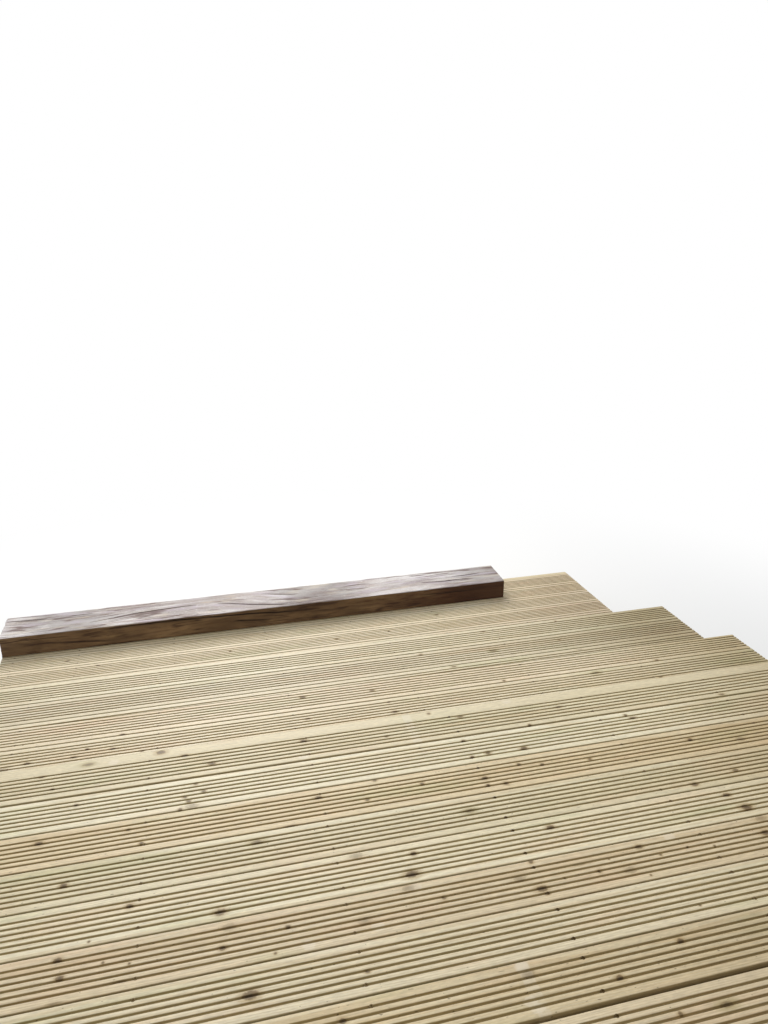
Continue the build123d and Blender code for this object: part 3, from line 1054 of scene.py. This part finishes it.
def build_screws(places):
    """Countersunk screw heads, each with a small six-sided drive recess."""
    *shell, recess = tube_faces(len(SCREW_RINGS), SCREW_SIDES)
    bottom = len(SCREW_RINGS) * SCREW_SIDES
    shell += [(a, b, bottom) for a, b in zip(recess, recess[1:] + recess[:1])]
    for name, spots in places.items():
        points = []
        faces = []
        for x, y, z in spots:
            turn = rng.uniform(0, math.tau)
            faces += [tuple(len(points) + index for index in face) for face in shell]
            for number, (radius, height) in enumerate(SCREW_RINGS):
                lobes = RECESS_WAVE if number >= RECESS_RING else 0.0
                for angle in (turn + math.tau * side / SCREW_SIDES for side in range(SCREW_SIDES)):
                    reach = radius * (1 + lobes * math.cos(RECESS_LOBES * angle))
                    points.append((x + reach * math.cos(angle), y + reach * math.sin(angle), z + height))
            points.append((x, y, z + SCREW_BOTTOM))
        mesh = bpy.data.meshes.new(name)
        mesh.from_pydata(points, [], faces)
        add_piece(mesh, screw_material(name + "_steel", *SCREW_COATS_AND_SHADE[name]), SHARP_ROUND)


def islands(work):
    """The separate timbers of a mesh, each as the list of its vertices."""
    seen = set()
    for vertex in work.verts:
        if vertex in seen:
            continue
        seen.add(vertex)
        island = [vertex]
        for member in island:
            others = {edge.other_vert(member) for edge in member.link_edges} - seen
            seen |= others
            island += others
        yield island


def build_timbers(node, material):
    """The node's own timbers with eased edges, each with its grain along its length."""
    work = bmesh.new()
    work.from_mesh(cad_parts[node].data)
    bmesh.ops.remove_doubles(work, verts=work.verts[:], dist=MERGE_REACH)
    bmesh.ops.dissolve_limit(work, angle_limit=FLAT_ANGLE, verts=work.verts[:], edges=work.edges[:])
    bmesh.ops.bevel(work, geom=work.edges[:], offset=TIMBER_EASE, segments=3, profile=0.6, affect="EDGES")
    work.verts.index_update()
    work.verts.ensure_lookup_table()
    grain = np.zeros((len(work.verts), 3))
    for island in islands(work):
        spots = np.array([tuple(vertex.co) for vertex in island])
        low = spots.min(axis=0)
        high = spots.max(axis=0)
        along = int((high - low).argmax())
        order = [along, *(axis for axis in range(3) if axis != along)]
        heart = [rng.uniform(0, GRAIN_REACH)]
        heart += [rng.uniform(-TIMBER_HEART, TIMBER_HEART) for _ in range(2)]
        middle = (high + low) / 2
        grain[[vertex.index for vertex in island]] = (spots - middle)[:, order] + heart
    mesh = bpy.data.meshes.new(node + "_timber")
    work.to_mesh(mesh)
    work.free()
    add_attribute(mesh, "grain", grain)
    add_piece(mesh, material, SHARP_WOOD, node=node)


@np.vectorize
def waves(x, y, seed):
    """Smooth random waves, between about -1 and 1."""
    return noise.noise(Vector((x, y, seed)))


def smooth_path(path, xs):
    """The path's places across the face at every station, with its corners rounded off."""
    places = np.interp(xs, *zip(*path))
    padded = np.pad(places, SPLIT_SMOOTHING // 2, mode="edge")
    return np.convolve(padded, np.ones(SPLIT_SMOOTHING) / SPLIT_SMOOTHING, mode="valid")


def opening(xs, start, end):
    """How wide open a split is along the beam, from 0 at its ends to 1."""
    share = np.clip((xs - start) / (end - start), 0.0, 1.0)
    return np.sin(np.pi * share) ** 0.7


def split_line(path, leaks, across, xs):
    """A split's place across the face, half its width and its depth, at every station."""
    centre = smooth_path(path, xs) + SPLIT_WAVER * waves(xs * 14, path[0][1] * 300, across * 70)
    half = np.full_like(xs, SPLIT_CLOSED)
    deep = np.zeros_like(xs)
    for start, end, width, depth in leaks:
        half = half + opening(xs, start, end) * width / 2
        deep = deep + opening(xs, start, end) * depth
    return centre, half, deep


def beam_face(across, splits, xs):
    """Rows along one face of the beam, bunched at its splits, as place across, depth and painted shade."""
    still = np.zeros_like(xs)

    def rows_between(first, last):
        steps = max(2, round(float(np.mean(last - first)) / BEAM_ROW))
        return [(first + (last - first) * step / steps, still, still) for step in range(1, steps)]

    rows = [(still + offset, still, still) for offset in BEAM_EDGE_ROWS]
    far = [(still + (across - offset), still, still) for offset in BEAM_EDGE_ROWS[:0:-1]]
    reached = rows[-1][0]
    for path, leaks in splits:
        centre, half, deep = split_line(path, leaks, across, xs)
        # Painted shade down each split, full where the split is SPLIT_DARK deep
        dark = np.clip(deep / SPLIT_DARK, 0.0, 1.0)
        rows += rows_between(reached, centre - half)
        rows.append((centre - half, still, 0.5 * dark))
        rows.append((centre, deep, dark))
        rows.append((centre + half, still, 0.5 * dark))
        reached = centre + half
    return rows + rows_between(reached, far[0][0]) + far


def rounded(place, across, first_radius, last_radius):
    """Moves rows near a face's two edges onto rounded corners. Returns place across and how far in."""
    inward = np.zeros_like(place)
    for radius, mirrored in ((first_radius, False), (last_radius, True)):
        edge = across - place if mirrored else place
        near = edge < radius
        moved = radius * (1 - math.sqrt(0.5)) + edge * math.sqrt(0.5)
        sunk = radius - np.sqrt(np.maximum(radius ** 2 - (radius - moved) ** 2, 0.0))
        inward = np.where(near, sunk, inward)
        place = np.where(near, across - moved if mirrored else moved, place)
    return place, inward


def edge_radii(xs):
    """Radius of each long edge of the beam at every station."""
    radii = []
    for edge, (least, most) in enumerate(BEAM_EDGES):
        worn = waves(xs * 4, edge * 9, 3) + 0.5 * waves(xs * 19, edge * 9, 7)
        radii.append(least + (most - least) * np.clip(0.45 + 0.9 * worn, 0.0, 1.0))
    return radii


def on_face(side, place, sunk):
    """Turns a place across one face of the beam, and how far in it lies, into y and z."""
    return (
        (sunk, place),
        (place, BEAM_HEIGHT - sunk),
        (BEAM_WIDTH - sunk, BEAM_HEIGHT - place),
        (BEAM_WIDTH - place, sunk),
    )[side]


def beam_rows(xs):
    """The beam's rows of points over its four faces: y and z, those of a sharp beam, painted shade, and
    how far around the beam each row lies."""
    radii = edge_radii(xs)
    chipped = opening(xs, *BEAM_CHIP)
    chips = waves(xs * 22, 4, 9)
    radii[1] = radii[1] + CHIP_ROUNDING * chipped * np.clip(0.6 + chips, 0.0, 1.2)
    chip_shade_start, chip_shade_run, chip_shade_strength = CHIP_SHADE
    section = []
    sharp = []
    dark = []
    around = []
    run = 0.0
    for side, (across, splits) in enumerate(BEAM_FACES):
        for place, deep, shade in beam_face(across, splits, xs):
            moved, inward = rounded(place, across, radii[side], radii[(side + 1) % 4])
            middle = float(np.mean(place))
            # Painted shadow on the front face under the chipped top edge
            if side == 0:
                chip_shadow = np.clip((place - BEAM_HEIGHT + chip_shade_start) / chip_shade_run, 0.0, 1.0)
                shade = np.maximum(shade, chip_shade_strength * chip_shadow * chipped * np.clip(0.8 + chips, 0.0, 1.0))
            section.append(on_face(side, moved, inward + deep))
            sharp.append(on_face(side, middle, 0.0))
            dark.append(shade)
            around.append(run + middle)
        run += across
    return np.array(section).transpose(2, 0, 1), np.array(sharp), np.array(dark).T, np.array(around)


def build_beam(material):
    """The beam as a closed skin, worn at its edges and split along its grain."""
    xs = np.linspace(0.0, BEAM_LENGTH, BEAM_STATIONS)
    section, sharp, dark, around = beam_rows(xs)
    mean, broad, fine = BEAM_WEAR
    stations = xs[:, None]
    wear = mean + broad * waves(stations * 5, around * 12, 1)
    wear += fine * waves(stations * 3, around * 170, 5)
    section = np.array([inset(outline, worn[:, None]) for outline, worn in zip(section, wear)])
    coarse, fine = BEAM_RAGGED
    ragged = coarse * np.abs(waves(0, around * 35, 2)) + fine * np.abs(waves(3, around * 150, 2))
    slant = section[:, :, 0] * math.tan(BEAM_END_SKEW)
    near_left = np.clip(1 - stations / RAGGED_REACH, 0.0, 1.0)
    near_right = np.clip((stations - BEAM_LENGTH + BEAM_SKEW_REACH) / BEAM_SKEW_REACH, 0.0, 1.0)
    along = stations + ragged * near_left + slant * near_right
    grain = np.dstack(np.broadcast_arrays(stations, *sharp.T))

    mesh = bpy.data.meshes.new("kerb_beam_wood")
    points = np.dstack([along, section]).reshape(-1, 3)
    mesh.from_pydata(points.tolist(), [], tube_faces(len(xs), len(around), turned=True))
    add_attribute(mesh, "grain", grain)
    # The depth attribute carries the painted shade of the splits and the chipped edge
    add_attribute(mesh, "depth", dark)
    low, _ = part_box("kerb_beam")
    corner = Vector((low[0] + BEAM_WIDTH * math.sin(LOWER_SKEW), low[1], low[2]))
    place = Matrix.Translation(corner) @ Matrix.Rotation(LOWER_SKEW, 4, "Z")
    add_piece(mesh, material, SHARP_ROUND, place, "kerb_beam")


def build_floor():
    """Plain pale floor that fades to white far out."""
    mesh = bpy.data.meshes.new("studio_floor")
    corners = [(x * FLOOR_REACH, y * FLOOR_REACH, 0) for x, y in ((-1, -1), (1, -1), (1, 1), (-1, 1))]
    mesh.from_pydata(corners, [], [(0, 1, 2, 3)])
    tree = Tree(bpy.data.materials.new("studio_floor"))
    place = tree.object_place()
    colour = tree.mix(tree.noise(place, 0.6), (0.86, 0.86, 0.85), (0.88, 0.88, 0.87))
    floor = tree.solid({"Base Color": colour, "Roughness": 0.9})
    x, y, _ = tree.split(place)
    far = tree.times(tree.band(tree.length(x, y), *FLOOR_FADE), tree.camera_rays())
    white = tree.add("ShaderNodeEmission")
    mesh.materials.append(tree.finish(tree.blend(far, floor, white)))
    add_object("studio_floor", mesh)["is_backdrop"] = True


def light_world():
    """A soft sky that lights the object, and plain white where the camera sees it."""
    world = bpy.data.worlds.new("studio_world")
    bpy.context.scene.world = world
    tree = Tree(world, "ShaderNodeOutputWorld")
    sky = tree.add("ShaderNodeBackground", (WORLD_COLOUR, WORLD_STRENGTH))
    white = tree.add("ShaderNodeBackground", ((1, 1, 1), 1))
    tree.finish(tree.blend(tree.camera_rays(), sky, white))


def add_lamps():
    """Soft round studio lamps that point at the deck."""
    for name, (place, size, power, colour) in LAMPS.items():
        lamp = bpy.data.lights.new(name, "AREA")
        lamp.shape = "DISK"
        lamp.size = size
        lamp.energy = power
        lamp.color = colour
        holder = add_object(name, lamp)
        holder.location = place
        holder.rotation_euler = (LAMP_AIM - Vector(place)).to_track_quat("-Z", "Y").to_euler()


def place_camera():
    """The photograph's viewpoint, standing on the highest level and looking down the steps."""
    low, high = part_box("upper_board_01")
    camera = bpy.data.cameras.new("photo_camera")
    camera.sensor_width = SENSOR
    camera.lens = SENSOR * FOCAL_PIXELS / PHOTO_SIZE[1]
    holder = add_object("photo_camera", camera)
    holder.location = (low[0] + CAMERA_FROM_LEFT, high[1] - CAMERA_BACK, high[2] + CAMERA_UP)
    holder.rotation_euler = (math.pi / 2 - CAMERA_PITCH, 0, -CAMERA_TURN)
    bpy.context.scene.camera = holder
    bpy.context.view_layer.update()


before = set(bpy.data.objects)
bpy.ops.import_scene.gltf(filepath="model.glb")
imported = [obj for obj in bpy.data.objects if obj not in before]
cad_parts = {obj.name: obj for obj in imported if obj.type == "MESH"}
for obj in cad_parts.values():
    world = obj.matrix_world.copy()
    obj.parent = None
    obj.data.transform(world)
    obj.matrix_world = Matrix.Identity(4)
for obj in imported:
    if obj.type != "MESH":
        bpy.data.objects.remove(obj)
cad_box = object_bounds()
place_camera()
photo_knots = seen_knots()
screw_places = {name: [] for name in SCREW_COATS_AND_SHADE}
board_wood = board_material()
build_boards(board_wood, photo_knots, screw_places)
build_tapered(board_wood, photo_knots)
build_risers(board_wood)
frame_wood = frame_material("sawn_frame_wood", (200, 188, 146), (176, 162, 118), 0.65)
fascia_wood = frame_material("planed_fascia_wood", (226, 212, 178), (214, 196, 158), 0.5)
for node in sorted(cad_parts):
    if node.endswith(("joists", "rims", "posts", "bearers")):
        build_timbers(node, frame_wood)
build_timbers("lower_fascia_board", fascia_wood)
build_beam(beam_material())
build_screws(screw_places)
build_floor()
light_world()
add_lamps()
bpy.context.scene.view_settings.view_transform = "Standard"
dressed_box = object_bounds()
boxes = {"cad": cad_box, "dressed": dressed_box}
{name: [list(map(float, corner)) for corner in box] for name, box in boxes.items()}
